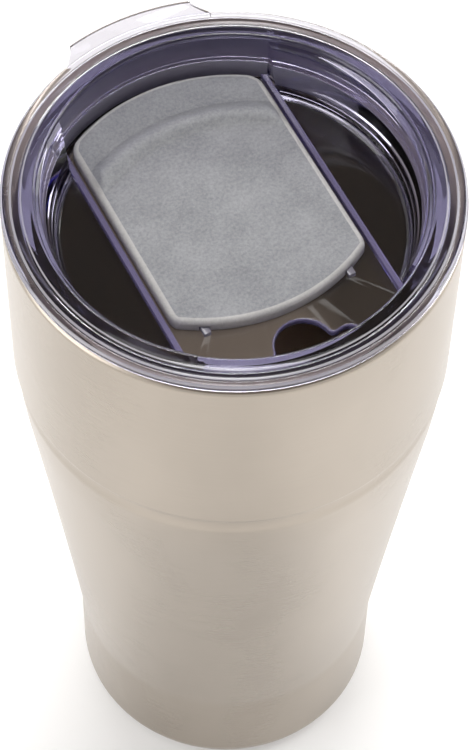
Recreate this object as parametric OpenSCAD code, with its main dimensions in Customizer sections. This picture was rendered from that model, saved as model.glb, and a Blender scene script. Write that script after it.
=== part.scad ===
// Insulated tumbler: a double-walled vacuum cup with a clear press-in lid and a
// sliding closure. +Z is up, the origin is the centre of the base's resting face,
// the lift tab points to +Y and the drinking opening lies at -Y. Millimetres.

/* [Cup] */
// Height of the steel rim above the table
cup_h = 198; // [180:1:215]
// Outer radius of the straight collar at the top
collar_r = 50; // [49.5:0.1:50.4]
// Height of the collar, from the rim down to the crease
collar_h = 52.4; // [45:0.1:60]
// Outer radius of the straight foot that drops into a cup holder
foot_r = 38; // [36:0.1:40]
// Height at which the foot meets the taper
foot_h = 31; // [24:1:36]
// Radius of the round between the foot and the underside
foot_round = 4.8; // [3:0.1:6]
// Thickness of the outer steel wall
shell_t = 0.6; // [0.5:0.1:1]
// Thickness of the inner steel wall
liner_t = 0.5; // [0.4:0.1:0.8]
// Distance from the outside of the cup to the inside of the cup
wall_depth = 3.2; // [3:0.1:4]

/* [Lid] */
// Outer radius of the lid's flange
flange_r = 50; // [49.5:0.1:50.4]
// Thickness of the flange
flange_t = 2.3; // [2:0.1:2.6]
// Depth of the well's floor below the top of the flange
well_depth = 14.2; // [13.5:0.1:15]
// Thickness of the well's floor
floor_t = 1.8; // [1.6:0.1:2]
// Radius of the well's wall between the rails
channel_r = 42.3; // [41.8:0.1:42.4]
// Radius of the wall of the side pockets at the lip
pocket_r = 41.4; // [40.8:0.1:41.6]
// Distance from the middle of the lid to the inner face of a rail
rail_x = 24.3; // [24:0.05:24.6]
// Thickness of a rail
rail_t = 1.2; // [1:0.1:1.4]
// Height of a rail above the floor
rail_h = 1.8; // [1.4:0.1:2.2]
// Radius reached by the lift tab
tab_r = 53.6; // [52.5:0.1:54]

/* [Slider] */
// Half of the slider's width
slider_x = 23.3; // [23:0.1:23.6]
// Thickness of the slider
slider_t = 3.1; // [2.8:0.1:3.3]
// Travel from open to closed
slider_travel = 16.8; // [16:0.1:17]
// Height of the thumb ridge
ridge_h = 1.5; // [0.8:0.1:1.6]

/* [Hidden] */
$fn = 96;
eps = 0.01;

// Cup
crease_z = cup_h - collar_h;
cove_z = crease_z - 5.6;
cove_r = collar_r - 0.65;
belly_z = 125.5;
belly_r = collar_r - 1.95;
rim_round = 1.3;
seam_r = collar_r - 1.8;
mouth_r = collar_r - wall_depth;
mouth_round = 1.2;
liner_floor_z = 16;
liner_floor_round = 9;
lip_z = 0.6;
lip_r = 30;
cover_r = 32.6;
pan_z = 6.6;
pan_rim_h = 5;
dimple_r = 6;
dimple_depth = 2.4;
vent_r = 1;
foil_t = 0.1;
foil_z = [34, 180];
getter_x = 18;

// Lid
lid_top = cup_h + 0.1 + flange_t;
plug_r = 45.9;
plug_depth = 17.6;
bead_r = 44.9;
flare_r = channel_r + 1.9;
floor_z = lid_top - well_depth;
under_z = floor_z - floor_t;
pocket_x = rail_x + rail_t;
groove_top = lid_top - 9;
groove_bottom = lid_top - 15;
groove_r = 43.6;
run_gap = 0.07;
opening_r0 = 34.3;
opening_r1 = 39.6;
opening_end = 15.5;
opening_corner = 1.5;
opening_arch_r = 6.3;
opening_arch_y = -33.3;
guide_x = 17.3;
guide_w = 1.6;
guide_h = 1.1;
guide_y = [-22.4, 14];
slot_x = 2.6;

// Slider
slide_gap = 0.1;
slider_back_r = 41;
slider_front_r = 41;
slider_front_cy = 16.3;
back_fillet = 5;
front_fillet = 3;
slider_z = floor_z + slide_gap;
slider_top = slider_z + slider_t;
ridge_r = 40.2;
ridge_cy = -11.6;
ridge_w = 6.4;
ridge_half = 31.5;
leg_x = 2.2;
leg_y = [2.4, 5.6];
slot_y = [leg_y[0] - slider_travel - 0.5, leg_y[1] + 0.5];
clip_z = under_z - slide_gap;
pad_t = 0.9;
pad_x = 15.6;
pad_back = -8.4;
pad_r = opening_r1 + 1;

// Points on an arc about c, from angle a to angle b
function arc(c, r, a, b, n = 8) =
  [for (i = [0:n]) let (t = a + (b - a) * i / n) c + r * [cos(t), sin(t)]];
// Points on a curve that leaves p towards m and reaches q from m
function bend(p, m, q, n = 8) =
  [for (i = [0:n]) let (t = i / n) (1 - t) * (1 - t) * p + 2 * t * (1 - t) * m + t * t * q];
function rev(list) = [for (i = [len(list) - 1:-1:0]) list[i]];
function tail(list) = [for (i = [1:len(list) - 1]) list[i]];

// The side of the cup from the foot to the bottom of the cove, moved inwards by d
function side(d) = concat(
  bend([foot_r - d, foot_h - 2], [foot_r - d, foot_h], [foot_r + 0.2 - d, foot_h + 2], 4),
  tail(bend([foot_r + 0.2 - d, foot_h + 2], [foot_r + 3.9 - d, foot_h + 40.9], [belly_r - d, belly_z], 14)),
  tail(bend([belly_r - d, belly_z], [belly_r + 0.73 - d, belly_z + 6.3], [cove_r - d, cove_z], 8))
);
// The side from the cove up to the collar
function collar(d) = concat(
  tail(bend([cove_r - d, cove_z], [cove_r - 0.35 - d, cove_z + 3], [cove_r - 0.1 - d, crease_z - 0.9], 6)),
  tail(bend([cove_r - 0.1 - d, crease_z - 0.9], [cove_r + 0.1 - d, crease_z - 0.2], [collar_r - 0.15 - d, crease_z], 4)),
  tail(bend([collar_r - 0.15 - d, crease_z], [collar_r - d, crease_z + 0.05], [collar_r - d, crease_z + 0.6], 3))
);
// The inner wall passes the crease in one smooth line, moved inwards by d
function inside_line(d) = concat(side(d), [[collar_r - d, crease_z + 6]]);

module outer_shell() {
  foot_c = [foot_r - foot_round, lip_z + foot_round];
  rim_c = [collar_r - rim_round, cup_h - rim_round];
  color("silver") rotate_extrude() polygon(concat(
    [[lip_r, lip_z]],
    arc(foot_c, foot_round, -90, 0, 10),
    side(0),
    collar(0),
    arc(rim_c, rim_round, 0, 90, 8),
    [[seam_r, cup_h], [seam_r, cup_h - shell_t]],
    arc(rim_c, rim_round - shell_t, 90, 0, 4),
    rev(collar(shell_t)),
    rev(side(shell_t)),
    arc(foot_c, foot_round - shell_t, 0, -90, 8),
    [[lip_r, lip_z + shell_t]]
  ));
}

module inner_liner() {
  bottom_c = [foot_r - wall_depth - liner_floor_round, liner_floor_z + liner_floor_round];
  mouth_c = [mouth_r + mouth_round, cup_h - mouth_round];
  color("gainsboro") rotate_extrude() polygon(concat(
    [[0, liner_floor_z]],
    arc(bottom_c, liner_floor_round, -90, 0, 8),
    inside_line(wall_depth),
    arc(mouth_c, mouth_round, 180, 90, 6),
    [[seam_r, cup_h], [seam_r, cup_h - liner_t]],
    arc(mouth_c, mouth_round - liner_t, 90, 180, 4),
    rev(inside_line(wall_depth - liner_t)),
    arc(bottom_c, liner_floor_round + liner_t, 0, -90, 8),
    [[0, liner_floor_z - liner_t]]
  ));
}

// The pressed bottom that closes the vacuum, with a dimple around the evacuation hole
module base_pan() {
  r = foot_r - shell_t;
  color("darkgray") rotate_extrude() polygon(concat(
    [[vent_r, pan_z - dimple_depth], [dimple_r - 1.6, pan_z - dimple_depth], [dimple_r, pan_z]],
    arc([r - 3, pan_z + 3], 3, -90, 0, 6),
    [[r, pan_z + pan_rim_h], [r - 0.6, pan_z + pan_rim_h]],
    arc([r - 3, pan_z + 3], 2.4, 0, -90, 6),
    [[dimple_r - 0.3, pan_z + 0.6], [dimple_r - 1.9, pan_z - dimple_depth + 0.6],
     [vent_r, pan_z - dimple_depth + 0.6]]
  ));
}

// Glass bead that seals the evacuation hole
module seal_bead() {
  z = pan_z - dimple_depth;
  color("dimgray") rotate_extrude() polygon([
    [0, z], [0, z - 1.3], [1.2, z - 1.15], [2.2, z - 0.75], [2.9, z - 0.2], [3, z]]);
}

module base_cover() {
  color("silver") rotate_extrude() polygon(concat(
    [[0, 0], [24, 0], [24.6, 0.25], [26.4, 0.25], [27, 0]],
    arc([cover_r - 0.5, 0.5], 0.5, -90, 0, 4),
    [[cover_r, lip_z], [lip_r - 0.6, lip_z], [lip_r - 1.2, lip_z + 0.5], [0, lip_z + 0.5]]
  ));
}

// Copper foil wrapped around the liner inside the vacuum
module heat_shield_foil() {
  d = wall_depth - liner_t;
  color("peru") rotate_extrude() polygon(concat(
    [for (p = inside_line(d)) if (p[1] > foil_z[0]) p],
    [[collar_r - d, foil_z[1]], [collar_r - d + foil_t, foil_z[1]]],
    rev([for (p = inside_line(d - foil_t)) if (p[1] > foil_z[0]) p])
  ));
}

// Small cup welded under the liner that holds the getter
module getter_holder() {
  translate([getter_x, 0, liner_floor_z - liner_t - 2]) color("lightgray") difference() {
    cylinder(h = 2, r = 5);
    translate([0, 0, -eps]) cylinder(h = 1.6, r = 4);
  }
}

module getter_pellet() {
  translate([getter_x, 0, liner_floor_z - liner_t - 1.7]) color("gray") cylinder(h = 1.29, r = 4);
}

// Half section of the lid before its well is hollowed out
module lid_section() {
  polygon(concat(
    [[0, under_z], [40.6, under_z], [41.2, under_z - 0.6], [41.2, lid_top - plug_depth]],
    arc([44.2, lid_top - plug_depth + 0.8], 0.8, -90, 0, 4),
    [[45, groove_bottom], [groove_r, groove_bottom], [groove_r, groove_top], [plug_r, groove_top],
     [plug_r, lid_top - flange_t], [flange_r - 1.4, lid_top - flange_t], [flange_r - 0.2, lid_top - 1.6]],
    arc([flange_r - 0.8, lid_top - 0.8], 0.8, 0, 90, 6),
    [[bead_r + 0.9, lid_top], [bead_r + 0.5, lid_top - 0.15]],
    arc([bead_r, lid_top - 0.15], 0.4, 0, 180, 6),
    [[bead_r - 0.6, lid_top - 0.1], [40, lid_top - 1.2], [0, lid_top - 1.2]]
  ));
}

// The space between the rails, down to the floor
module channel() {
  intersection() {
    rotate_extrude() polygon(concat(
      [[0, lid_top + 1], [0, floor_z]],
      arc([channel_r - 1.2, floor_z + 1.2], 1.2, -90, 0, 4),
      bend([channel_r, lid_top - 2.2], [channel_r, lid_top - 1], [flare_r, lid_top], 6),
      [[flare_r, lid_top + 1]]
    ));
    translate([-pocket_x, -50, floor_z - 1]) cube([2 * pocket_x, 100, 30]);
  }
}

// A side pocket outside a rail, with a leaning wall and a wide fillet at the floor
module pocket(side) {
  intersection() {
    rotate_extrude() polygon(concat(
      [[0, lid_top + 1], [0, floor_z]],
      bend([37, floor_z], [39, floor_z + 0.2], [39.3, floor_z + 3.6], 6),
      bend([pocket_r - 0.2, lid_top - 2.4], [pocket_r, lid_top - 1], [flare_r, lid_top], 6),
      [[flare_r, lid_top + 1]]
    ));
    translate([side > 0 ? pocket_x - eps : -50, -50, floor_z - 1]) cube([50 - pocket_x + eps, 100, 30]);
  }
}

// The bar of a rail that stands on the floor, between the channel and a pocket
module rail(x) {
  intersection() {
    translate([x, -40, floor_z - 1]) cube([rail_t, 80, rail_h + 1]);
    cylinder(h = lid_top, r = 43);
  }
}

// The drinking opening: a curved slot with round ends along the wall, and an arch towards
// the middle that meets the slot in rounded corners
function opening_points() = let (
  cap = (opening_r1 - opening_r0) / 2,
  e = opening_end,
  ex = (opening_r0 + cap) * sin(e),
  ey = -(opening_r0 + cap) * cos(e),
  // centre of a corner's round, at set distances from the lid's axis and the arch's centre
  far = opening_r0 - opening_corner,
  near = opening_arch_r + opening_corner,
  fy = (near * near - far * far - opening_arch_y * opening_arch_y) / (-2 * opening_arch_y),
  fx = sqrt(far * far - fy * fy),
  s = atan2(fy, fx),
  a = atan2(fy - opening_arch_y, fx)
) concat(
  arc([0, 0], opening_r1, -90 - e, -90 + e, 16),
  tail(arc([ex, ey], cap, -90 + e, 90 + e, 10)),
  tail(arc([0, 0], opening_r0, -90 + e, s, 2)),
  tail(arc([fx, fy], opening_corner, s, a - 180, 6)),
  tail(arc([0, opening_arch_y], opening_arch_r, a, 180 - a, 24)),
  tail(arc([-fx, fy], opening_corner, -a, -180 - s, 6)),
  tail(arc([0, 0], opening_r0, -180 - s, -90 - e, 2)),
  [for (i = [1:9]) arc([-ex, ey], cap, 90 - e, 270 - e, 10)[i]]
);

module tab_outline() {
  polygon([[-17.6, 46.4], [17.6, 46.4], [15.4, 49.6], [14.7, 50.9], [-14.7, 50.9], [-15.4, 49.6]]);
  intersection() {
    circle(r = tab_r);
    translate([-14.7, 48]) square([29.4, 6]);
  }
}

module lid_shell() {
  color([0.86, 0.86, 0.95, 0.45]) difference() {
    union() {
      difference() {
        union() {
          rotate_extrude() lid_section();
          translate([0, 0, lid_top - 1.9]) linear_extrude(1.7) tab_outline();
        }
        channel();
        pocket(-1);
        pocket(1);
      }
      rail(rail_x);
      rail(-rail_x - rail_t);
      for (x = [-guide_x, guide_x])
        translate([x - guide_w / 2, guide_y[0], floor_z - 1])
          cube([guide_w, guide_y[1] - guide_y[0], guide_h + 1]);
    }
    translate([0, 0, under_z - 1]) linear_extrude(floor_t + 2) polygon(opening_points());
    translate([-slot_x, slot_y[0], under_z - 1]) cube([2 * slot_x, slot_y[1] - slot_y[0], floor_t + 2]);
  }
}

// Silicone ring in the lid's groove, with two fins that reach the cup's wall
module lid_gasket() {
  r0 = groove_r + run_gap;
  r1 = groove_r + 1.5;
  tip = mouth_r - 0.08;
  z0 = groove_bottom + run_gap;
  z1 = groove_top - run_gap;
  color("whitesmoke") rotate_extrude() polygon([
    [r0, z0], [r1, z0], [r1, z0 + 0.6], [tip, z0 + 1.5], [tip, z0 + 2.1], [r1, z0 + 1.8],
    [r1, z0 + 3.3], [tip, z0 + 4.2], [tip, z0 + 4.8], [r1, z0 + 4.5], [r1, z1], [r0, z1]]);
}

// The slider's outline: two arcs joined by straight sides with rounded corners
function slider_points() = let (
  bx = slider_x - back_fillet,
  by = sqrt(pow(slider_back_r - back_fillet, 2) - bx * bx),
  ba = atan2(by, bx),
  fx = slider_x - front_fillet,
  fy = -sqrt(pow(slider_front_r - front_fillet, 2) - fx * fx),
  fa = atan2(fy, fx)
) concat(
  arc([0, slider_front_cy], slider_front_r, -180 - fa, fa, 24),
  tail(arc([fx, slider_front_cy + fy], front_fillet, fa, 0, 6)),
  arc([bx, by], back_fillet, 0, ba, 8),
  tail(arc([0, 0], slider_back_r, ba, 180 - ba, 24)),
  tail(arc([-bx, by], back_fillet, 180 - ba, 180, 8)),
  [for (i = [0:5]) arc([-fx, slider_front_cy + fy], front_fillet, 180, 180 - fa, 6)[i]]
);

module seal_pad() {
  intersection() {
    translate([0, slider_travel]) circle(r = pad_r);
    translate([-pad_x, -30]) square([2 * pad_x, 30 + pad_back]);
  }
}

// Half section of the thumb ridge
module ridge_section() {
  a = ridge_w / 2;
  b = 0.4 * a;
  polygon(concat(
    [[ridge_r - a, -0.5]],
    bend([ridge_r - a, 0], [ridge_r - 0.62 * a, 0.05], [ridge_r - b, 0.6 * ridge_h], 4),
    tail(bend([ridge_r - b, 0.6 * ridge_h], [ridge_r, 1.4 * ridge_h], [ridge_r + b, 0.6 * ridge_h], 6)),
    tail(bend([ridge_r + b, 0.6 * ridge_h], [ridge_r + 0.62 * a, 0.05], [ridge_r + a, 0], 4)),
    [[ridge_r + a, -0.5]]
  ));
}

module slider_plate() {
  color([0.8, 0.82, 0.84, 0.7]) difference() {
    union() {
      translate([0, 0, slider_z]) linear_extrude(slider_t) polygon(slider_points());
      translate([0, ridge_cy, slider_top]) rotate([0, 0, 90 - ridge_half])
        rotate_extrude(angle = 2 * ridge_half) ridge_section();
    }
    for (x = [-guide_x, guide_x])
      translate([x - guide_w / 2 - 0.3, -30, slider_z - 1]) cube([guide_w + 0.6, 62, guide_h + 1.3]);
    translate([0, 0, slider_z - 1]) linear_extrude(pad_t + 1) seal_pad();
    translate([-leg_x, leg_y[0], slider_z - 1]) cube([2 * leg_x, leg_y[1] - leg_y[0], 2.6]);
  }
}

// Keeper under the floor; its stem passes through the slot into the slider
module slider_clip() {
  stem_top = slider_z + 1.6;
  color("whitesmoke") union() {
    translate([-8, leg_y[0] - 4.4, clip_z - 1.4]) cube([16, leg_y[1] - leg_y[0] + 8.8, 1.4]);
    translate([-leg_x, leg_y[0], clip_z - 0.5]) cube([2 * leg_x, leg_y[1] - leg_y[0], stem_top - clip_z + 0.5]);
  }
}

// Soft pad in the slider's underside that covers the drinking opening
module drink_seal() {
  translate([0, 0, slider_z]) color("white") linear_extrude(pad_t) seal_pad();
}

outer_shell();
inner_liner();
base_pan();
seal_bead();
base_cover();
heat_shield_foil();
getter_holder();
getter_pellet();
lid_shell();
lid_gasket();
slider_plate();
slider_clip();
drink_seal();
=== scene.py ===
"""Looks of the insulated tumbler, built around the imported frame. Metres, +Z up, lid tab at +Y."""
import math

import bmesh
import bpy
from mathutils import Matrix, Vector


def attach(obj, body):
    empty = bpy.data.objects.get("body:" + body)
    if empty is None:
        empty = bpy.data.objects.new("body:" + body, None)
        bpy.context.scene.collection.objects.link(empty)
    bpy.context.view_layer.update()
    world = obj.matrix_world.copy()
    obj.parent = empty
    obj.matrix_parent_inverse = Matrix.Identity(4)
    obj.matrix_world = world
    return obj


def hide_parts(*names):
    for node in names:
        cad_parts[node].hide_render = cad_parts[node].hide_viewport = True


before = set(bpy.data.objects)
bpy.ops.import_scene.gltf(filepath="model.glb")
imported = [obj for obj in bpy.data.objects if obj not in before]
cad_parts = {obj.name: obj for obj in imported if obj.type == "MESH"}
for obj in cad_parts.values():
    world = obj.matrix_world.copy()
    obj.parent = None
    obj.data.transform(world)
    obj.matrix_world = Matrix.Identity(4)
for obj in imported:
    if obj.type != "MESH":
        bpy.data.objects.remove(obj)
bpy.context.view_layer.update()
scene = bpy.context.scene
scene.view_settings.view_transform = "Standard"

MM = 0.001

# Heights in millimetres: the cup's rim, the lid's flange, and the upper and lower face of the lid's floor
CUP_H = 198.0
LID_TOP = 200.4
FLOOR_Z = LID_TOP - 14.2
UNDER_Z = FLOOR_Z - 1.8

# The cup's outer face, in millimetres: radii, and the heights where the curves meet
FOOT_R = 38.0
BELLY_R = 48.05
COVE_R = 49.35
COLLAR_R = 50.0
FOOT_TOP = 29.0
TAPER_FROM = 33.0
BELLY_Z = 125.5
COVE_Z = 140.0
CREASE_Z = 145.6

# ---------------------------------------------------------------- camera
AIM_AZIMUTH = math.radians(27.9)
PITCH = math.radians(57.20)
RISE = math.radians(53.45)
ROLL = math.radians(1.38)
LENS = 135.0
DISTANCE = 0.600
SIDE_STEP = 0.000985


def make_camera():
    sin_a, cos_a = math.sin(AIM_AZIMUTH), math.cos(AIM_AZIMUTH)
    flat = DISTANCE * math.cos(RISE)
    place = Vector((
        SIDE_STEP * cos_a - flat * sin_a,
        -SIDE_STEP * sin_a - flat * cos_a,
        LID_TOP * MM + DISTANCE * math.sin(RISE),
    ))
    forward = Vector((math.cos(PITCH) * sin_a, math.cos(PITCH) * cos_a, -math.sin(PITCH)))
    right = Vector((cos_a, -sin_a, 0))
    up = right.cross(forward)
    turned_right = right * math.cos(ROLL) + up * math.sin(ROLL)
    turned_up = -right * math.sin(ROLL) + up * math.cos(ROLL)
    m = Matrix((
        (turned_right.x, turned_up.x, -forward.x, place.x),
        (turned_right.y, turned_up.y, -forward.y, place.y),
        (turned_right.z, turned_up.z, -forward.z, place.z),
        (0, 0, 0, 1),
    ))
    data = bpy.data.cameras.new("camera")
    data.lens = LENS
    data.sensor_width = 36.0
    data.sensor_fit = "AUTO"
    data.clip_start = 0.02
    data.clip_end = 20.0
    cam = bpy.data.objects.new("camera", data)
    scene.collection.objects.link(cam)
    cam.matrix_world = m
    scene.camera = cam


make_camera()


# ---------------------------------------------------------------- profiles
def arc(cx, cz, r, a, b, n=8):
    """Points on an arc about (cx, cz) from angle a to b, in degrees."""
    out = []
    for i in range(n + 1):
        t = math.radians(a + (b - a) * i / n)
        out.append((cx + r * math.cos(t), cz + r * math.sin(t)))
    return out


def oval(cx, cz, a, b, start, end, n=8):
    """Points on an ellipse about (cx, cz) with half axes a and b, between two angles in degrees."""
    out = []
    for i in range(n + 1):
        t = math.radians(start + (end - start) * i / n)
        out.append((cx + a * math.cos(t), cz + b * math.sin(t)))
    return out


def bend(p, m, q, n=8):
    """Points on a curve that leaves p towards m and reaches q from m."""
    out = []
    for i in range(n + 1):
        t = i / n
        out.append(tuple(
            (1 - t) ** 2 * p[k] + 2 * t * (1 - t) * m[k] + t * t * q[k] for k in (0, 1)))
    return out


def side(d, fine=1):
    """The cup's side from the foot to the bottom of the cove, moved inwards by d."""
    foot, belly, cove = FOOT_R - d, BELLY_R - d, COVE_R - d
    return (bend((foot, FOOT_TOP), (foot, 31.0), (foot + 0.2, TAPER_FROM), 4 * fine)
            + bend((foot + 0.2, TAPER_FROM), (foot + 3.9, 71.9), (belly, BELLY_Z), 14 * fine)[1:]
            + bend((belly, BELLY_Z), (belly + 0.73, 131.8), (cove, COVE_Z), 8 * fine)[1:])


def collar(d, fine=1):
    """The cup's side from the cove up to the collar, moved inwards by d."""
    cove, top = COVE_R - d, COLLAR_R - d
    low = CREASE_Z - 0.9
    return (bend((cove, COVE_Z), (cove - 0.35, 143.0), (cove - 0.1, low), 6 * fine)[1:]
            + bend((cove - 0.1, low), (cove + 0.1, CREASE_Z - 0.2), (top - 0.15, CREASE_Z), 4)[1:]
            + bend((top - 0.15, CREASE_Z), (top, CREASE_Z + 0.05), (top, CREASE_Z + 0.6), 3)[1:])


# ---------------------------------------------------------------- mesh helpers
BEVEL_FROM_ANGLE = 35


def new_object(name, bm, smooth_angle=32.0):
    """Turns bm into an object. Edges sharper than smooth_angle stay sharp; None leaves all faces flat."""
    mesh = bpy.data.meshes.new(name)
    bm.to_mesh(mesh)
    bm.free()
    obj = bpy.data.objects.new(name, mesh)
    scene.collection.objects.link(obj)
    if smooth_angle is not None:
        for poly in mesh.polygons:
            poly.use_smooth = True
        mesh.set_sharp_from_angle(angle=math.radians(smooth_angle))
    return obj


def lathe(name, points, steps=192, smooth_angle=32.0):
    """A closed body of revolution about Z from a closed section, in millimetres.

    A section point on the axis becomes one vertex, so that the mesh has no doubled faces."""
    bm = bmesh.new()
    rings = []
    for r, z in points:
        if r < 1e-6:
            rings.append([bm.verts.new((0, 0, z * MM))])
        else:
            rings.append([
                bm.verts.new((r * MM * math.cos(2 * math.pi * i / steps),
                              r * MM * math.sin(2 * math.pi * i / steps), z * MM))
                for i in range(steps)])
    count = len(rings)
    for k in range(count):
        low, high = rings[k], rings[(k + 1) % count]
        if len(low) == 1 and len(high) == 1:
            continue
        for i in range(steps):
            j = (i + 1) % steps
            face = [low[i % len(low)], low[j % len(low)], high[j % len(high)], high[i % len(high)]]
            kept = []
            for v in face:
                if v not in kept:
                    kept.append(v)
            if len(kept) > 2:
                bm.faces.new(kept)
    bmesh.ops.recalc_face_normals(bm, faces=bm.faces)
    return new_object(name, bm, smooth_angle)


def loft(name, rings):
    """A closed upright body through rings of points, each an (outline, z) pair, lowest first,
    in millimetres."""
    bm = bmesh.new()
    levels = [[bm.verts.new((x * MM, y * MM, z * MM)) for x, y in outline] for outline, z in rings]
    bm.faces.new(levels[0][::-1])
    bm.faces.new(levels[-1])
    for low, high in zip(levels, levels[1:]):
        for i in range(len(low)):
            j = (i + 1) % len(low)
            bm.faces.new((low[i], low[j], high[j], high[i]))
    bmesh.ops.recalc_face_normals(bm, faces=bm.faces)
    return new_object(name, bm)


def prism(name, outline, z0, z1):
    """A closed upright body from an outline, in millimetres."""
    return loft(name, [(outline, z0), (outline, z1)])


def block(name, low, high):
    """An upright box from its lowest and highest corners, in millimetres."""
    return prism(name, [(low[0], low[1]), (high[0], low[1]), (high[0], high[1]), (low[0], high[1])],
                 low[2], high[2])


def apply_modifiers(obj):
    """Replaces the object's mesh by the one its modifiers give."""
    graph = bpy.context.evaluated_depsgraph_get()
    mesh = bpy.data.meshes.new_from_object(obj.evaluated_get(graph))
    old = obj.data
    obj.modifiers.clear()
    obj.data = mesh
    bpy.data.meshes.remove(old)


def combine(target, tool, how):
    """Joins, cuts or intersects target with tool, and deletes tool."""
    mod = target.modifiers.new("bool", "BOOLEAN")
    mod.operation = how
    mod.solver = "EXACT"
    mod.object = tool
    apply_modifiers(target)
    mesh = tool.data
    bpy.data.objects.remove(tool)
    bpy.data.meshes.remove(mesh)


def clean(obj, bevel=None, smooth_angle=30.0):
    """Merges doubled points, rounds sharp edges by bevel millimetres and smooths the shading."""
    bm = bmesh.new()
    bm.from_mesh(obj.data)
    bmesh.ops.remove_doubles(bm, verts=bm.verts, dist=2e-6)
    bmesh.ops.dissolve_degenerate(bm, edges=bm.edges, dist=1e-6)
    bm.to_mesh(obj.data)
    bm.free()
    if bevel:
        mod = obj.modifiers.new("bevel", "BEVEL")
        mod.width = bevel * MM
        mod.segments = 2
        mod.limit_method = "ANGLE"
        mod.angle_limit = math.radians(BEVEL_FROM_ANGLE)
        mod.use_clamp_overlap = True
        mod.harden_normals = False
        apply_modifiers(obj)
    for poly in obj.data.polygons:
        poly.use_smooth = True
    obj.data.set_sharp_from_angle(angle=math.radians(smooth_angle))


def supported(points, gap=0.35, long=1.6):
    """Adds points near the ends of long stretches, so that smooth shading stays in the corners."""
    out = []
    n = len(points)
    for k in range(n):
        p, q = points[k], points[(k + 1) % n]
        out.append(p)
        length = math.hypot(q[0] - p[0], q[1] - p[1])
        if length > long:
            for t in (gap / length, 1 - gap / length):
                out.append((p[0] + (q[0] - p[0]) * t, p[1] + (q[1] - p[1]) * t))
    return out


def finish_piece(obj, body, material, node):
    """Gives a piece its material, and puts it on its body in the CAD node's place."""
    obj.data.materials.clear()
    obj.data.materials.append(material)
    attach(obj, body)
    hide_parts(node)


# ---------------------------------------------------------------- materials
def new_material(name):
    """A material with one Principled shader; returns the material, the shader and the output node."""
    mat = bpy.data.materials.new(name)
    mat.use_nodes = True
    nodes = mat.node_tree.nodes
    nodes.clear()
    out = nodes.new("ShaderNodeOutputMaterial")
    shader = nodes.new("ShaderNodeBsdfPrincipled")
    mat.node_tree.links.new(shader.outputs["BSDF"], out.inputs["Surface"])
    return mat, shader, out


def add_node(mat, kind, **values):
    node = mat.node_tree.nodes.new(kind)
    for key, value in values.items():
        setattr(node, key, value)
    return node


def link(mat, a, b):
    mat.node_tree.links.new(a, b)


def scaled_noise(mat, scale, detail=4.0, roughness=0.55, stretch=(1, 1, 1)):
    """Noise over object coordinates, in cycles per metre along each axis."""
    coord = add_node(mat, "ShaderNodeTexCoord")
    mapping = add_node(mat, "ShaderNodeMapping")
    mapping.inputs["Scale"].default_value = stretch
    noise = add_node(mat, "ShaderNodeTexNoise")
    noise.inputs["Scale"].default_value = scale
    noise.inputs["Detail"].default_value = detail
    noise.inputs["Roughness"].default_value = roughness
    link(mat, coord.outputs["Object"], mapping.inputs["Vector"])
    link(mat, mapping.outputs["Vector"], noise.inputs["Vector"])
    return noise


def ramp(mat, source, low, high, out_low, out_high):
    """Maps source from low..high to out_low..out_high."""
    node = add_node(mat, "ShaderNodeMapRange")
    node.inputs["From Min"].default_value = low
    node.inputs["From Max"].default_value = high
    node.inputs["To Min"].default_value = out_low
    node.inputs["To Max"].default_value = out_high
    link(mat, source, node.inputs["Value"])
    return node


def colour_ramp(mat, source, stops):
    """Maps source to colours; stops is a list of (place, colour)."""
    node = add_node(mat, "ShaderNodeValToRGB")
    ramp_data = node.color_ramp
    while len(ramp_data.elements) < len(stops):
        ramp_data.elements.new(0.5)
    for element, (place, colour) in zip(ramp_data.elements, stops):
        element.position = place
        element.color = (*colour, 1)
    link(mat, source, node.inputs["Fac"])
    return node


def bump(mat, shader, source, strength, distance):
    node = add_node(mat, "ShaderNodeBump")
    node.inputs["Strength"].default_value = strength
    node.inputs["Distance"].default_value = distance
    link(mat, source, node.inputs["Height"])
    link(mat, node.outputs["Normal"], shader.inputs["Normal"])
    return node


def brushed_steel(name, dark, light, rough, lines=9000.0, strength=0.05):
    """Satin steel, brushed around the axis: fine rings, with a slow drift in tone."""
    mat, shader, _ = new_material(name)
    shader.inputs["Metallic"].default_value = 1.0
    shader.inputs["Anisotropic"].default_value = 0.55
    tangent = add_node(mat, "ShaderNodeTangent", direction_type="RADIAL", axis="Z")
    link(mat, tangent.outputs["Tangent"], shader.inputs["Tangent"])
    rings = scaled_noise(mat, 1.0, detail=3.0, roughness=0.6, stretch=(60, 60, lines))
    clouds = scaled_noise(mat, 24.0, detail=3.0, stretch=(1, 1, 0.5))
    both = add_node(mat, "ShaderNodeMath", operation="MULTIPLY_ADD")
    both.inputs[1].default_value = 0.35
    link(mat, rings.outputs["Fac"], both.inputs[0])
    link(mat, clouds.outputs["Fac"], both.inputs[2])
    tone = colour_ramp(mat, both.outputs["Value"], [(0.45, dark), (0.9, light)])
    link(mat, tone.outputs["Color"], shader.inputs["Base Color"])
    roughness = ramp(mat, both.outputs["Value"], 0.45, 0.9, rough - 0.03, rough + 0.04)
    link(mat, roughness.outputs["Result"], shader.inputs["Roughness"])
    bump(mat, shader, rings.outputs["Fac"], strength, 0.00003)
    return mat


# Colour of the light that passes through the plastic to what lies under it
SHADOW_COLOUR = (0.64, 0.62, 0.67)
# Body colour of the plastic, and how strong it is per metre
BODY_COLOUR = (0.50, 0.45, 0.95)
BODY_DENSITY = 30.0
# Across the object's x axis, in metres, where the painted light on the lid's floor fades out
PAINTED_LIGHT_FADE = (0.002, 0.011)


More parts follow.
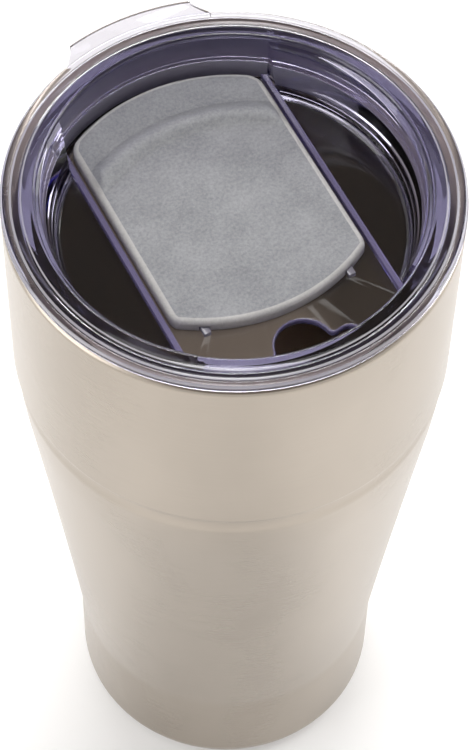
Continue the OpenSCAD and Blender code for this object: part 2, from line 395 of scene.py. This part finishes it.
def clear_plastic(name, tint=(0.67, 0.66, 0.685), rough=0.015, clearness=1.0, clear_side=None):
    """Clear moulded plastic with a faint violet body colour and hairline wear.

    Shadow rays pass through it tinted. clearness is the transmission weight; below 1 the tint shows as a
    cloudy colour, with which the copies below paint light and shade. clear_side is the weight on the
    object's +X side, if the painted light fades out towards it."""
    mat, shader, out = new_material(name)
    shader.inputs["Base Color"].default_value = (*tint, 1)
    shader.inputs["Transmission Weight"].default_value = clearness
    if clear_side is not None:
        coord = add_node(mat, "ShaderNodeTexCoord")
        split = add_node(mat, "ShaderNodeSeparateXYZ")
        link(mat, coord.outputs["Object"], split.inputs["Vector"])
        share = ramp(mat, split.outputs["X"], *PAINTED_LIGHT_FADE, clearness, clear_side)
        link(mat, share.outputs["Result"], shader.inputs["Transmission Weight"])
    shader.inputs["IOR"].default_value = 1.52
    fine = scaled_noise(mat, 260.0, detail=4.0)
    roughness = ramp(mat, fine.outputs["Fac"], 0.35, 0.75, rough, rough + 0.035)
    link(mat, roughness.outputs["Result"], shader.inputs["Roughness"])
    slow = scaled_noise(mat, 90.0, detail=2.0)
    bump(mat, shader, slow.outputs["Fac"], 0.04, 0.0002)
    path = add_node(mat, "ShaderNodeLightPath")
    through = add_node(mat, "ShaderNodeBsdfTransparent")
    through.inputs["Color"].default_value = (*SHADOW_COLOUR, 1)
    mix = add_node(mat, "ShaderNodeMixShader")
    link(mat, path.outputs["Is Shadow Ray"], mix.inputs["Fac"])
    link(mat, shader.outputs["BSDF"], mix.inputs[1])
    link(mat, through.outputs["BSDF"], mix.inputs[2])
    link(mat, mix.outputs["Shader"], out.inputs["Surface"])
    volume = add_node(mat, "ShaderNodeVolumeAbsorption")
    volume.inputs["Color"].default_value = (*BODY_COLOUR, 1)
    volume.inputs["Density"].default_value = BODY_DENSITY
    link(mat, volume.outputs["Volume"], out.inputs["Volume"])
    return mat


def frosted_plastic(name, dark, light):
    """Translucent plastic with the fine spark-eroded texture of its mould."""
    mat, shader, _ = new_material(name)
    shader.inputs["Transmission Weight"].default_value = 0.15
    shader.inputs["Subsurface Weight"].default_value = 0.8
    shader.inputs["Subsurface Radius"].default_value = (1, 1, 1)
    shader.inputs["Subsurface Scale"].default_value = 0.004
    shader.inputs["IOR"].default_value = 1.5
    spark = scaled_noise(mat, 1400.0, detail=5.0, roughness=0.75)
    cloud = scaled_noise(mat, 110.0, detail=3.0)
    both = add_node(mat, "ShaderNodeMath", operation="MULTIPLY_ADD")
    both.inputs[1].default_value = 2.0
    link(mat, spark.outputs["Fac"], both.inputs[0])
    link(mat, cloud.outputs["Fac"], both.inputs[2])
    share = ramp(mat, both.outputs["Value"], 1.1, 1.9, 0.0, 1.0)
    tone = colour_ramp(mat, share.outputs["Result"], [(0.0, dark), (1.0, light)])
    link(mat, tone.outputs["Color"], shader.inputs["Base Color"])
    roughness = ramp(mat, spark.outputs["Fac"], 0.3, 0.7, 0.36, 0.56)
    link(mat, roughness.outputs["Result"], shader.inputs["Roughness"])
    bump(mat, shader, spark.outputs["Fac"], 0.5, 0.00015)
    return mat


def silicone(name):
    """Milky soft silicone."""
    mat, shader, _ = new_material(name)
    shader.inputs["Transmission Weight"].default_value = 0.15
    shader.inputs["IOR"].default_value = 1.41
    cloud = scaled_noise(mat, 300.0, detail=3.0)
    tone = colour_ramp(mat, cloud.outputs["Fac"],
                       [(0.3, (0.56, 0.56, 0.61)), (0.7, (0.64, 0.64, 0.69))])
    link(mat, tone.outputs["Color"], shader.inputs["Base Color"])
    roughness = ramp(mat, cloud.outputs["Fac"], 0.3, 0.7, 0.35, 0.5)
    link(mat, roughness.outputs["Result"], shader.inputs["Roughness"])
    return mat


def plain_metal(name, dark, light, rough, scale=220.0, metallic=1.0):
    """Thin pressed metal with a mottled tone."""
    mat, shader, _ = new_material(name)
    shader.inputs["Metallic"].default_value = metallic
    cloud = scaled_noise(mat, scale, detail=4.0)
    tone = colour_ramp(mat, cloud.outputs["Fac"], [(0.3, dark), (0.7, light)])
    link(mat, tone.outputs["Color"], shader.inputs["Base Color"])
    roughness = ramp(mat, cloud.outputs["Fac"], 0.3, 0.7, rough - 0.05, rough + 0.08)
    link(mat, roughness.outputs["Result"], shader.inputs["Roughness"])
    return mat


STEEL = brushed_steel("shell_steel", (0.375, 0.330, 0.280), (0.45, 0.40, 0.343), 0.28)
LINER_STEEL = brushed_steel("liner_steel", (0.56, 0.49, 0.40), (0.66, 0.59, 0.50), 0.44, strength=0.01)
BASE_STEEL = brushed_steel("base_steel", (0.55, 0.52, 0.48), (0.66, 0.62, 0.58), 0.34, lines=60.0)
COPPER = plain_metal("copper_foil", (0.60, 0.32, 0.20), (0.78, 0.46, 0.32), 0.25)
GETTER = plain_metal("getter_alloy", (0.16, 0.16, 0.17), (0.26, 0.26, 0.27), 0.6, 1500.0, 0.6)
FRIT = plain_metal("frit_glass", (0.05, 0.045, 0.04), (0.10, 0.09, 0.08), 0.2, 900.0, 0.0)
CLEAR = clear_plastic("clear_plastic")
# Violet, cloudier plastic on the rails and on the opening's cut faces: painted light, standing in for the
# bright lines seen along these clear edges
PAINTED_EDGE_GLOW = clear_plastic("clear_plastic_painted_edge_glow", (0.45, 0.40, 0.72), 0.08, 0.72)
# Warm, less clear plastic on the floor between the rails, fading out towards +X: painted light, standing in
# for the lit inside of the cup seen through the floor
PAINTED_LIGHT_HAZE = clear_plastic("clear_plastic_painted_light_haze", (0.72, 0.59, 0.48), 0.05, 0.84, 0.965)
# Cloudier plastic on the guide ribs: painted highlight, so that the clear ribs show as lit lines
PAINTED_NUB_GLOW = clear_plastic("clear_plastic_painted_nub_glow", (0.66, 0.64, 0.76), 0.05, 0.65)
# Whiter, cloudier plastic on the beads' outer slopes: painted highlights, standing in for the bright lines
# that the clear beads show
PAINTED_HIGHLIGHT = clear_plastic("clear_plastic_painted_highlight", (0.92, 0.90, 0.98), 0.06, 0.68)
# Dark violet, less clear plastic on the plug's outer wall: painted shade, standing in for the dark gap
# between plug and cup seen through it
PAINTED_SHADE_WALL = clear_plastic("clear_plastic_painted_shade_wall", (0.30, 0.27, 0.44), 0.05, 0.8)
FROST = frosted_plastic("frosted_plastic", (0.222, 0.231, 0.247), (0.375, 0.382, 0.40))
# Lighter copy of the frosted plastic for the slider's rounded border and sides: painted light along its edge
FROST_PAINTED_EDGE_LIGHT = frosted_plastic("frosted_plastic_painted_edge_light", (0.46, 0.46, 0.45), (0.58, 0.575, 0.56))
SILICONE = silicone("silicone")


# ---------------------------------------------------------------- cup
SHELL_WALL = 0.6
# Depth of the liner's two faces inside the shell's outer face
LINER_INNER = 3.2
LINER_OUTER = 2.7
# Rounding from the side to the bottom, its centre, and the hole that the base cover closes
HEEL_ROUND = 4.8
HEEL_R, HEEL_Z = 33.2, 5.4
BOTTOM_HOLE_R = 30
# Rolled rim, and the seam where shell and liner meet
RIM_ROUND = 1.3
RIM_R = 48.7
SEAM_R = 48.2


def make_shell():
    d = SHELL_WALL
    points = ([(BOTTOM_HOLE_R, 0.6)] + arc(HEEL_R, HEEL_Z, HEEL_ROUND, -90, 0, 14) + side(0, 2) + collar(0)
              + arc(RIM_R, CUP_H - RIM_ROUND, RIM_ROUND, 0, 90, 10)
              + [(SEAM_R, CUP_H), (SEAM_R, CUP_H - d)]
              + arc(RIM_R, CUP_H - RIM_ROUND, RIM_ROUND - d, 90, 0, 6)
              + collar(d)[::-1] + side(d, 2)[::-1]
              + arc(HEEL_R, HEEL_Z, HEEL_ROUND - d, 0, -90, 10) + [(BOTTOM_HOLE_R, 0.6 + d)])
    obj = lathe("shell", supported(points), 256)
    finish_piece(obj, "cup", STEEL, "outer_shell")


def make_liner():
    points = ([(0, 16)] + arc(25.8, 25, 9, -90, 0, 14) + side(LINER_INNER, 2) + [(46.8, 151.6)]
              + arc(48, CUP_H - 1.2, 1.2, 180, 90, 8)
              + [(SEAM_R, CUP_H), (SEAM_R, CUP_H - 0.5)]
              + arc(48, CUP_H - 1.2, 0.7, 90, 180, 6)
              + [(47.3, 151.6)] + side(LINER_OUTER, 2)[::-1]
              + arc(25.8, 25, 9.5, 0, -90, 10) + [(0, 15.5)])
    obj = lathe("liner", supported(points), 256)
    finish_piece(obj, "cup", LINER_STEEL, "inner_liner")


def make_cover():
    points = ([(0, 0), (24, 0)] + bend((24, 0), (24.3, 0), (24.7, 0.25), 4)[1:]
              + bend((26.3, 0.25), (26.7, 0), (27, 0), 4)
              + arc(32.1, 0.5, 0.5, -90, 0, 6)
              + [(32.6, 0.6), (29.4, 0.6), (28.8, 1.1), (0, 1.1)])
    obj = lathe("cover", supported(points), 192)
    finish_piece(obj, "cup", BASE_STEEL, "base_cover")


make_shell()
make_liner()
make_cover()


# ---------------------------------------------------------------- lid
# Rails beside the slider, ribs under it, the well's wall, and the groove of the seal ring
RAIL_IN = 24.3
RAIL_OUT = 25.5
RAIL_H = 1.8
GUIDE_X = 17.3
GUIDE_HALF = 0.8
GUIDE_FRONT, GUIDE_BACK = -22.4, 14
GUIDE_H = 1.1
CHANNEL_R = 42.3
POCKET_R = 41.4
GROOVE_R = 43.6
# Heights below the flange's top
FLANGE_UNDER = 2.3
GROOVE_TOP = 9
GROOVE_BOTTOM = 15
# Lines moulded on the flange: bead, valleys beside it, and shoulder over the well
BEAD_R = 47.1
BEAD_H = 0.12
BEAD_CURVE_R = 1.9875
BEAD_HALF_ANGLE = 31.9
VALLEY_DROP = 0.18
SHOULDER_H = 0.2
# Lift tab
TAB_R = 53.6
TAB_HALF = 14.7
# Drinking opening: a slot between two radii, its half angle, and the arch in its inner side
HOLE_R0 = 34.3
HOLE_R1 = 39.6
HOLE_END = 15.5
HOLE_CORNER_R = 1.5
HOLE_ROUND = 0.5
HOLE_ARCH_R = 6.3
HOLE_ARCH_Y = -33.3
# Radii between which the beads' outer slopes get a whiter, cloudier plastic: painted highlights along the
# beads
PAINTED_HIGHLIGHT_RINGS = ((45.25, 45.7), (47.55, 48.0), (49.45, 49.85))


def lid_section():
    """Section of the lid, with the channel's space over the floor all the way round."""
    top = LID_TOP
    return ([(0, UNDER_Z), (40.6, UNDER_Z)]
            + bend((40.6, UNDER_Z), (41.2, UNDER_Z), (41.2, UNDER_Z - 0.6), 4)[1:]
            + [(41.2, top - 17.6)] + arc(44.2, top - 16.8, 0.8, -90, 0, 6)
            + [(45, top - GROOVE_BOTTOM), (GROOVE_R, top - GROOVE_BOTTOM), (GROOVE_R, top - GROOVE_TOP),
               (45.9, top - GROOVE_TOP), (45.9, top - FLANGE_UNDER), (48.6, top - FLANGE_UNDER),
               (49.8, top - 1.6)]
            + oval(48.9, top - 0.9, 1.1, 0.95, 0, 90, 10)
            + bend((48.9, top + 0.05), (48.4, top + 0.05), (48.15, top - VALLEY_DROP), 5)[1:]
            + arc(BEAD_R, top + BEAD_H - BEAD_CURVE_R, BEAD_CURVE_R,
                  90 - BEAD_HALF_ANGLE, 90 + BEAD_HALF_ANGLE, 12)[1:]
            + bend((46.05, top - VALLEY_DROP), (45.35, top + SHOULDER_H), (44.6, top + SHOULDER_H), 8)[1:]
            + oval(43.4, top - 1.1, 1.1, 1.3, 90, 180, 10)
            + [(CHANNEL_R, top - FLANGE_UNDER)]
            + arc(CHANNEL_R - 1.2, FLOOR_Z + 1.2, 1.2, 0, -90, 8) + [(0, FLOOR_Z)])


def crescent_section():
    """Section of the thicker wall beside the rails, running into the lid's floor and wall."""
    top = LID_TOP
    wall = POCKET_R - 0.2
    return (bend((36.8, FLOOR_Z - 0.3), (39, FLOOR_Z + 0.1), (39.3, FLOOR_Z + 3.6), 10)
            + bend((wall, top - 2.3), (wall + 0.4, top - 0.8), (43.6, top - 0.35), 8)
            + [(43.9, top - 0.35), (43.9, top - 8), (43, top - 8.5), (43, FLOOR_Z - 0.3)])


def outline_hole(grow=0.0):
    """Outline of the drinking opening, run anticlockwise: a curved slot with an arch in its inner side.

    The slot has round ends, and its corners with the arch are rounded. grow moves the outline
    outwards."""
    cap_r = 0.5 * (HOLE_R1 - HOLE_R0)
    mid_r = HOLE_R0 + cap_r
    end = HOLE_END
    ex, ey = mid_r * math.sin(math.radians(end)), -mid_r * math.cos(math.radians(end))
    # centre of the corner round, at fixed distances from the arch's centre and from the lid's axis
    far, near = HOLE_R0 - HOLE_CORNER_R, HOLE_ARCH_R + HOLE_CORNER_R
    fy = (near ** 2 - far ** 2 - HOLE_ARCH_Y ** 2) / (-2 * HOLE_ARCH_Y)
    fx = math.sqrt(far ** 2 - fy ** 2)
    at_slot = math.degrees(math.atan2(fy, fx))
    at_arch = math.degrees(math.atan2(fy - HOLE_ARCH_Y, fx))
    out = arc(0, 0, HOLE_R1 + grow, -90 - end, -90 + end, 40)
    out += arc(ex, ey, cap_r + grow, -90 + end, 90 + end, 20)[1:]
    out += arc(0, 0, HOLE_R0 - grow, -90 + end, at_slot, 6)[1:]
    out += arc(fx, fy, HOLE_CORNER_R - grow, at_slot, at_arch - 180, 10)[1:]
    out += arc(0, HOLE_ARCH_Y, HOLE_ARCH_R + grow, at_arch, 180 - at_arch, 40)[1:]
    out += arc(-fx, fy, HOLE_CORNER_R - grow, -at_arch, -180 - at_slot, 10)[1:]
    out += arc(0, 0, HOLE_R0 - grow, -180 - at_slot, -90 - end, 6)[1:]
    out += arc(-ex, ey, cap_r + grow, 90 - end, 270 - end, 20)[1:-1]
    return out


def mirrored(obj, name):
    """A copy of obj on the other side of the plane x = 0."""
    bm = bmesh.new()
    bm.from_mesh(obj.data)
    for v in bm.verts:
        v.co.x = -v.co.x
    bmesh.ops.reverse_faces(bm, faces=bm.faces)
    return new_object(name, bm)


def hole_rings():
    """Rings of the tool that cuts the opening: wider by HOLE_ROUND at both faces of the lid's floor."""
    wide = outline_hole(HOLE_ROUND)
    turns = [math.radians(18 * k) for k in range(6)]
    rings = [(wide, UNDER_Z - 1), (wide, UNDER_Z - 0.001)]
    rings += [(outline_hole(HOLE_ROUND * (1 - math.sin(t))), UNDER_Z + HOLE_ROUND * (1 - math.cos(t)))
              for t in turns]
    rings += [(outline_hole(HOLE_ROUND * (1 - math.cos(t))), FLOOR_Z - HOLE_ROUND * (1 - math.sin(t)))
              for t in turns]
    return rings + [(wide, FLOOR_Z + 1)]


def lid_painted_look(c, n):
    """The painted look of a face of the lid from its centre in millimetres and normal; None is clear.

    Each copy of the clear plastic it picks paints light or shade: edge light on the rails and the opening's
    cut faces, light seen through the floor, shade on the plug's outer wall, light on the guide ribs and
    highlights on the beads.
    """
    radius = math.hypot(c.x, c.y)
    on_floor = UNDER_Z + 0.02 < c.z < FLOOR_Z + 0.02
    on_rail = (RAIL_IN - 0.05 < abs(c.x) < RAIL_OUT + 0.05
               and FLOOR_Z + 0.05 < c.z < FLOOR_Z + RAIL_H + 0.05 and radius < 40)
    on_guide = (abs(abs(c.x) - GUIDE_X) < 0.9 and -24 < c.y < 16
                and FLOOR_Z + 0.02 < c.z < FLOOR_Z + 1.2)
    # Rails and the opening's cut faces: painted edge light
    if on_rail:
        return PAINTED_EDGE_GLOW
    if c.y < -26 and abs(c.x) < 14 and radius < 40.3 and on_floor and c.z < FLOOR_Z - 0.01:
        return PAINTED_EDGE_GLOW
    if on_floor and abs(c.x) < RAIL_IN and n.z > 0.9 and radius < 41:
        return PAINTED_LIGHT_HAZE
    if radius > 45.5 and LID_TOP - GROOVE_TOP < c.z < LID_TOP - FLANGE_UNDER and abs(n.z) < 0.9:
        return PAINTED_SHADE_WALL
    if on_guide:
        return PAINTED_NUB_GLOW
    # Beads' outer slopes: painted highlights
    if c.z > LID_TOP - 0.6 and n.z > 0.5 and any(a < radius < b for a, b in PAINTED_HIGHLIGHT_RINGS):
        return PAINTED_HIGHLIGHT
    return None


def make_lid():
    lid = lathe("lid", supported(lid_section()), 256)
    tab_x = [TAB_HALF - 2 * TAB_HALF * i / 24 for i in range(25)]
    tab = prism("tab", [(-17.6, 46.4), (17.6, 46.4), (15.4, 49.6), (TAB_HALF, 50.9)]
                + [(x, math.sqrt(TAB_R ** 2 - x ** 2)) for x in tab_x]
                + [(-TAB_HALF, 50.9), (-15.4, 49.6)], LID_TOP - 1.9, LID_TOP - 0.2)
    combine(lid, tab, "UNION")
    crescent = lathe("crescent", supported(crescent_section()), 256)
    combine(crescent, block("slab", (-60, -60, 100), (0.05 - RAIL_OUT, 60, 300)), "INTERSECT")
    other = mirrored(crescent, "other_crescent")
    combine(lid, crescent, "UNION")
    combine(lid, other, "UNION")
    for sign in (-1, 1):
        x0, x1 = sorted((sign * RAIL_IN, sign * RAIL_OUT))
        rail = block("rail", (x0, -40, FLOOR_Z - 1), (x1, 40, FLOOR_Z + RAIL_H))
        combine(rail, lathe("limit", [(0, 100), (43, 100), (43, 300), (0, 300)], 128), "INTERSECT")
        combine(lid, rail, "UNION")
        guide = block("guide", (sign * GUIDE_X - GUIDE_HALF, GUIDE_FRONT, FLOOR_Z - 1),
                      (sign * GUIDE_X + GUIDE_HALF, GUIDE_BACK, FLOOR_Z + GUIDE_H))
        combine(lid, guide, "UNION")
    combine(lid, loft("hole", hole_rings()), "DIFFERENCE")
    combine(lid, block("slot", (-2.6, -14.9, UNDER_Z - 1), (2.6, 6.1, FLOOR_Z + 1)), "DIFFERENCE")
    clean(lid, bevel=0.12)
    finish_piece(lid, "lid", CLEAR, "lid_shell")
    # Copies of the clear plastic that paint light and shade onto chosen faces of the lid
    painted_looks = (PAINTED_EDGE_GLOW, PAINTED_LIGHT_HAZE, PAINTED_SHADE_WALL, PAINTED_NUB_GLOW, PAINTED_HIGHLIGHT)
    for painted_look in painted_looks:
        lid.data.materials.append(painted_look)
    for face in lid.data.polygons:
        painted_look = lid_painted_look(face.center / MM, face.normal)
        if painted_look:
            face.material_index = 1 + painted_looks.index(painted_look)


def make_gasket():
    gap = 0.07
    r0, r1, tip = GROOVE_R + gap, GROOVE_R + 1.5, 46.72
    z0, z1 = LID_TOP - GROOVE_BOTTOM + gap, LID_TOP - GROOVE_TOP - gap
    points = [(r0, z0), (r1, z0), (r1, z0 + 0.6), (tip - 0.2, z0 + 1.45), (tip, z0 + 1.6),
              (tip, z0 + 2.0), (tip - 0.15, z0 + 2.1), (r1, z0 + 1.8), (r1, z0 + 3.3),
              (tip - 0.2, z0 + 4.15), (tip, z0 + 4.3), (tip, z0 + 4.7), (tip - 0.15, z0 + 4.8),
              (r1, z0 + 4.5), (r1, z1), (r0, z1)]
    obj = lathe("gasket", supported(points, 0.2, 0.8), 256, 50)
    finish_piece(obj, "seal_ring", SILICONE, "lid_gasket")


make_lid()
make_gasket()


# ---------------------------------------------------------------- slider
# Its underside, top and half width, and the arcs of its back and front edges
SLIDER_Z = FLOOR_Z + 0.1
SLIDER_TOP = SLIDER_Z + 3.1
SLIDER_X = 23.3
BACK_R = 41.0
FRONT_R = 41.0
FRONT_CY = 16.3
BACK_FILLET = 5.0
FRONT_FILLET = 3.0
SLIDER_ROUND = 1.1
TRAVEL = 16.8
# Thumb ridge: height, the middle of its arc, and the arc's radii in front, at the crest and behind
RIDGE_H = 1.5
RIDGE_CY = -11.6
RIDGE_FRONT = 37.0
RIDGE_CREST = 40.0
RIDGE_REAR = 43.4
# Where the ridge ends beside the rails, and over what width it fades out
RIDGE_END = 22.9
RIDGE_FADE = 2.6


def slider_edges(x, inset):
    """Front and back y of the slider's outline at x, with the outline drawn in by inset."""
    half = SLIDER_X - inset
    x = max(-half, min(half, x))
    ax = abs(x)
    bx = SLIDER_X - BACK_FILLET
    by = math.sqrt((BACK_R - BACK_FILLET) ** 2 - bx * bx)
    edge_x = bx * BACK_R / (BACK_R - BACK_FILLET)
    if ax > edge_x:
        back = by + math.sqrt(max(0.0, (BACK_FILLET - inset) ** 2 - (ax - bx) ** 2))
    else:
        back = math.sqrt((BACK_R - inset) ** 2 - ax * ax)
    fx = SLIDER_X - FRONT_FILLET
    fy = -math.sqrt((FRONT_R - FRONT_FILLET) ** 2 - fx * fx)
    edge_x = fx * FRONT_R / (FRONT_R - FRONT_FILLET)
    if ax > edge_x:
        front = FRONT_CY + fy - math.sqrt(max(0.0, (FRONT_FILLET - inset) ** 2 - (ax - fx) ** 2))
    else:
        front = FRONT_CY - math.sqrt((FRONT_R - inset) ** 2 - ax * ax)
    return front, back


def ridge_height(x, y):
    """Height of the thumb ridge above the plate at a point."""
    r = math.hypot(x, y - RIDGE_CY)
    if r < RIDGE_FRONT or r > RIDGE_REAR:
        return 0.0
    if r < RIDGE_CREST:
        t = (r - RIDGE_FRONT) / (RIDGE_CREST - RIDGE_FRONT)
    else:
        t = (RIDGE_REAR - r) / (RIDGE_REAR - RIDGE_CREST)
    t = math.sin(0.5 * math.pi * t) ** 1.3
    end = min(1.0, max(0.0, (RIDGE_END - abs(x)) / RIDGE_FADE))
    return RIDGE_H * t * (end * end * (3 - 2 * end))


def make_slider():
    nx, ny = 150, 210
    bm = bmesh.new()
    steps = 4
    # inset and drop of each ring from the flat top out to the side
    rings = [(SLIDER_ROUND * (1 - math.sin(math.radians(90 * k / steps))),
              SLIDER_ROUND * (1 - math.cos(math.radians(90 * k / steps)))) for k in range(steps + 1)]
    grid = []
    half = SLIDER_X - rings[0][0]
    for i in range(nx + 1):
        s = math.sin(math.pi * (i / nx - 0.5))
        x = half * (0.35 * s + 0.65 * (2 * i / nx - 1))
        front, back = slider_edges(x, rings[0][0])
        row = []
        for j in range(ny + 1):
            y = front + (back - front) * j / ny
            row.append(bm.verts.new((x * MM, y * MM, (SLIDER_TOP + ridge_height(x, y)) * MM)))
        grid.append(row)
    for i in range(nx):
        for j in range(ny):
            bm.faces.new((grid[i][j], grid[i + 1][j], grid[i + 1][j + 1], grid[i][j + 1]))
    loop = ([grid[i][0] for i in range(nx + 1)] + [grid[nx][j] for j in range(1, ny + 1)]
            + [grid[i][ny] for i in range(nx - 1, -1, -1)] + [grid[0][j] for j in range(ny - 1, 0, -1)])
    count = len(loop)
    points = [v.co.copy() for v in loop]
    normals = []
    for k in range(count):
        t = points[(k + 1) % count] - points[k - 1]
        normals.append(Vector((t.y, -t.x, 0)).normalized())
    last = loop
    levels = [(rings[0][0] - a, SLIDER_TOP - b) for a, b in rings[1:]]
    levels += [(rings[0][0], SLIDER_TOP - 1.4), (rings[0][0], SLIDER_Z + 0.5), (rings[0][0], SLIDER_Z)]
    for out, z in levels:
        ring = []
        for k in range(count):
            p = points[k] + normals[k] * out * MM
            ring.append(bm.verts.new((p.x, p.y, z * MM)))
        for k in range(count):
            j = (k + 1) % count
            bm.faces.new((last[k], ring[k], ring[j], last[j]))
        last = ring
    bm.faces.new(last[::-1])
    bmesh.ops.remove_doubles(bm, verts=bm.verts, dist=1e-6)
    bmesh.ops.recalc_face_normals(bm, faces=bm.faces)
    plate = new_object("slider", bm, 40)
    for sign in (-1, 1):
        combine(plate, block("groove", (sign * GUIDE_X - 1.1, -30, SLIDER_Z - 1),
                             (sign * GUIDE_X + 1.1, 32, SLIDER_Z + 1.4)), "DIFFERENCE")
    pad = prism("recess", pad_outline(), SLIDER_Z - 1, SLIDER_Z + 0.9)
    combine(plate, pad, "DIFFERENCE")
    combine(plate, block("socket", (-2.2, 2.4, SLIDER_Z - 1), (2.2, 5.6, SLIDER_Z + 1.6)), "DIFFERENCE")
    clean(plate, smooth_angle=40)
    finish_piece(plate, "slider", FROST, "slider_plate")
    # Faces on the rounded border and the sides take the lighter copy: painted edge light
    plate.data.materials.append(FROST_PAINTED_EDGE_LIGHT)
    for face in plate.data.polygons:
        c, n = face.center / MM, face.normal
        front, back = slider_edges(c.x, 1.2)
        if c.z > SLIDER_Z + 0.01 and (abs(c.x) > SLIDER_X - 1.2 or c.y < front or c.y > back):
            face.material_index = 1


def pad_outline():
    """Outline of the soft pad, with the slider open."""
    r, half, back = HOLE_R1 + 1, 15.6, -8.4
    a = math.degrees(math.asin(half / r))
    return arc(0, TRAVEL, r, -90 - a, -90 + a, 32) + [(half, back), (-half, back)]


make_slider()

# ---------------------------------------------------------------- carried-over nodes
CARRIED = {
    "base_pan": BASE_STEEL, "seal_bead": FRIT, "heat_shield_foil": COPPER,
    "getter_holder": BASE_STEEL, "getter_pellet": GETTER,
    "slider_clip": FROST, "drink_seal": SILICONE,
}
for node, material in CARRIED.items():
    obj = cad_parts[node]
    for entry in obj.material_slots:
        entry.material = material


# ---------------------------------------------------------------- stage and light
# Studio light: strength of the walls and ceiling, and the upward slopes between which one turns to the other
WALL_LIGHT = 0.95
CEILING_LIGHT = 0.22
WALL_TOP = 0.30
CEILING_FROM = 0.62
CEILING_COLOUR = (1.0, 0.87, 0.77)
# Floor: tone and glow, both lower in a soft round patch in front of the cup; distances in metres.
# The patch is a painted shadow, for the steel to reflect.
FLOOR_TONE = 0.8
FLOOR_GLOW = 0.3
FRONT_DIM = 0.82
FRONT_GLOW = 0.19
PATCH_AHEAD = 0.09
PATCH_INNER, PATCH_OUTER = 0.02, 0.115
FLOOR_RINGS = (0.02, 0.05, 0.1, 0.2, 0.5, 1.0, 2.0, 4.0)
FLOOR_DROP = 0.0002


def painted_floor_shadow(mat):
    """Mask of the painted shadow on the floor: 1 in a soft round patch in front of the cup, 0 elsewhere."""
    coord = add_node(mat, "ShaderNodeTexCoord")
    away = add_node(mat, "ShaderNodeVectorMath", operation="DISTANCE")
    away.inputs[1].default_value = (-PATCH_AHEAD * math.sin(AIM_AZIMUTH),
                                    -PATCH_AHEAD * math.cos(AIM_AZIMUTH), 0)
    link(mat, coord.outputs["Object"], away.inputs[0])
    shade = ramp(mat, away.outputs["Value"], PATCH_INNER, PATCH_OUTER, 1.0, 0.0)
    shade.interpolation_type = "SMOOTHERSTEP"
    return shade


def make_stage():
    bm = bmesh.new()
    steps = 96
    rings = []
    for r in FLOOR_RINGS:
        rings.append([
            bm.verts.new((r * math.cos(2 * math.pi * i / steps), r * math.sin(2 * math.pi * i / steps),
                          -FLOOR_DROP))
            for i in range(steps)])
    bm.faces.new(rings[0])
    for low, high in zip(rings, rings[1:]):
        for i in range(steps):
            j = (i + 1) % steps
            bm.faces.new((low[i], high[i], high[j], low[j]))
    floor = new_object("floor", bm, None)
    mat, shader, _ = new_material("floor")
    shader.inputs["Roughness"].default_value = 0.9
    shader.inputs["Specular IOR Level"].default_value = 0.1
    shader.inputs["Emission Color"].default_value = (1, 1, 1, 1)
    # The floor's tone and glow are lowered in the patch: a painted shadow
    shade = painted_floor_shadow(mat)
    tone = ramp(mat, shade.outputs["Result"], 0.0, 1.0, FLOOR_TONE, FLOOR_TONE * FRONT_DIM)
    link(mat, tone.outputs["Result"], shader.inputs["Base Color"])
    glow = ramp(mat, shade.outputs["Result"], 0.0, 1.0, FLOOR_GLOW, FRONT_GLOW)
    link(mat, glow.outputs["Result"], shader.inputs["Emission Strength"])
    floor.data.materials.append(mat)


def make_light(name, place, aim, width, height, power, turn=0.0):
    """A rectangular lamp at place, facing aim; sizes in metres, power in watts."""
    data = bpy.data.lights.new(name, "AREA")
    data.shape = "RECTANGLE"
    data.size = width
    data.size_y = height
    data.energy = power
    lamp = bpy.data.objects.new(name, data)
    scene.collection.objects.link(lamp)
    direction = Vector(aim) - Vector(place)
    lamp.matrix_world = (Matrix.Translation(place) @ direction.to_track_quat("-Z", "Y").to_matrix().to_4x4()
                         @ Matrix.Rotation(turn, 4, "Z"))


def make_world():
    """A studio: bright white walls near the horizon and a dim ceiling."""
    world = bpy.data.worlds.new("studio")
    world.use_nodes = True
    tree = world.node_tree
    coord = tree.nodes.new("ShaderNodeTexCoord")
    split = tree.nodes.new("ShaderNodeSeparateXYZ")
    fall = tree.nodes.new("ShaderNodeMapRange")
    fall.interpolation_type = "SMOOTHSTEP"
    fall.inputs["From Min"].default_value = WALL_TOP
    fall.inputs["From Max"].default_value = CEILING_FROM
    fall.inputs["To Min"].default_value = WALL_LIGHT
    fall.inputs["To Max"].default_value = CEILING_LIGHT
    tree.links.new(coord.outputs["Generated"], split.inputs["Vector"])
    tree.links.new(split.outputs["Z"], fall.inputs["Value"])
    tree.links.new(fall.outputs["Result"], tree.nodes["Background"].inputs["Strength"])
    warm = tree.nodes.new("ShaderNodeValToRGB")
    warm.color_ramp.elements[0].position = WALL_TOP
    warm.color_ramp.elements[0].color = (1, 1, 1, 1)
    warm.color_ramp.elements[1].position = CEILING_FROM
    warm.color_ramp.elements[1].color = (*CEILING_COLOUR, 1)
    tree.links.new(split.outputs["Z"], warm.inputs["Fac"])
    tree.links.new(warm.outputs["Color"], tree.nodes["Background"].inputs["Color"])
    scene.world = world


make_stage()
make_world()
make_light("key_box", (0.44, 1.15, 0.66), (0, 0, 0.1), 1.3, 0.20, 10.5)
make_light("top_box", (0, 0, 1.3), (0, 0, 0), 0.85, 0.85, 4.0, AIM_AZIMUTH)
make_light("spark_box", (0, 0, 1.28), (0, 0, 0), 0.35, 0.35, 2.6, AIM_AZIMUTH)
make_light("left_box", (-0.9, 0.1, 0.55), (0, 0, 0.1), 0.7, 0.9, 5.2)
make_light("right_box", (0.9, -0.1, 0.55), (0, 0, 0.1), 0.7, 0.9, 6.2)
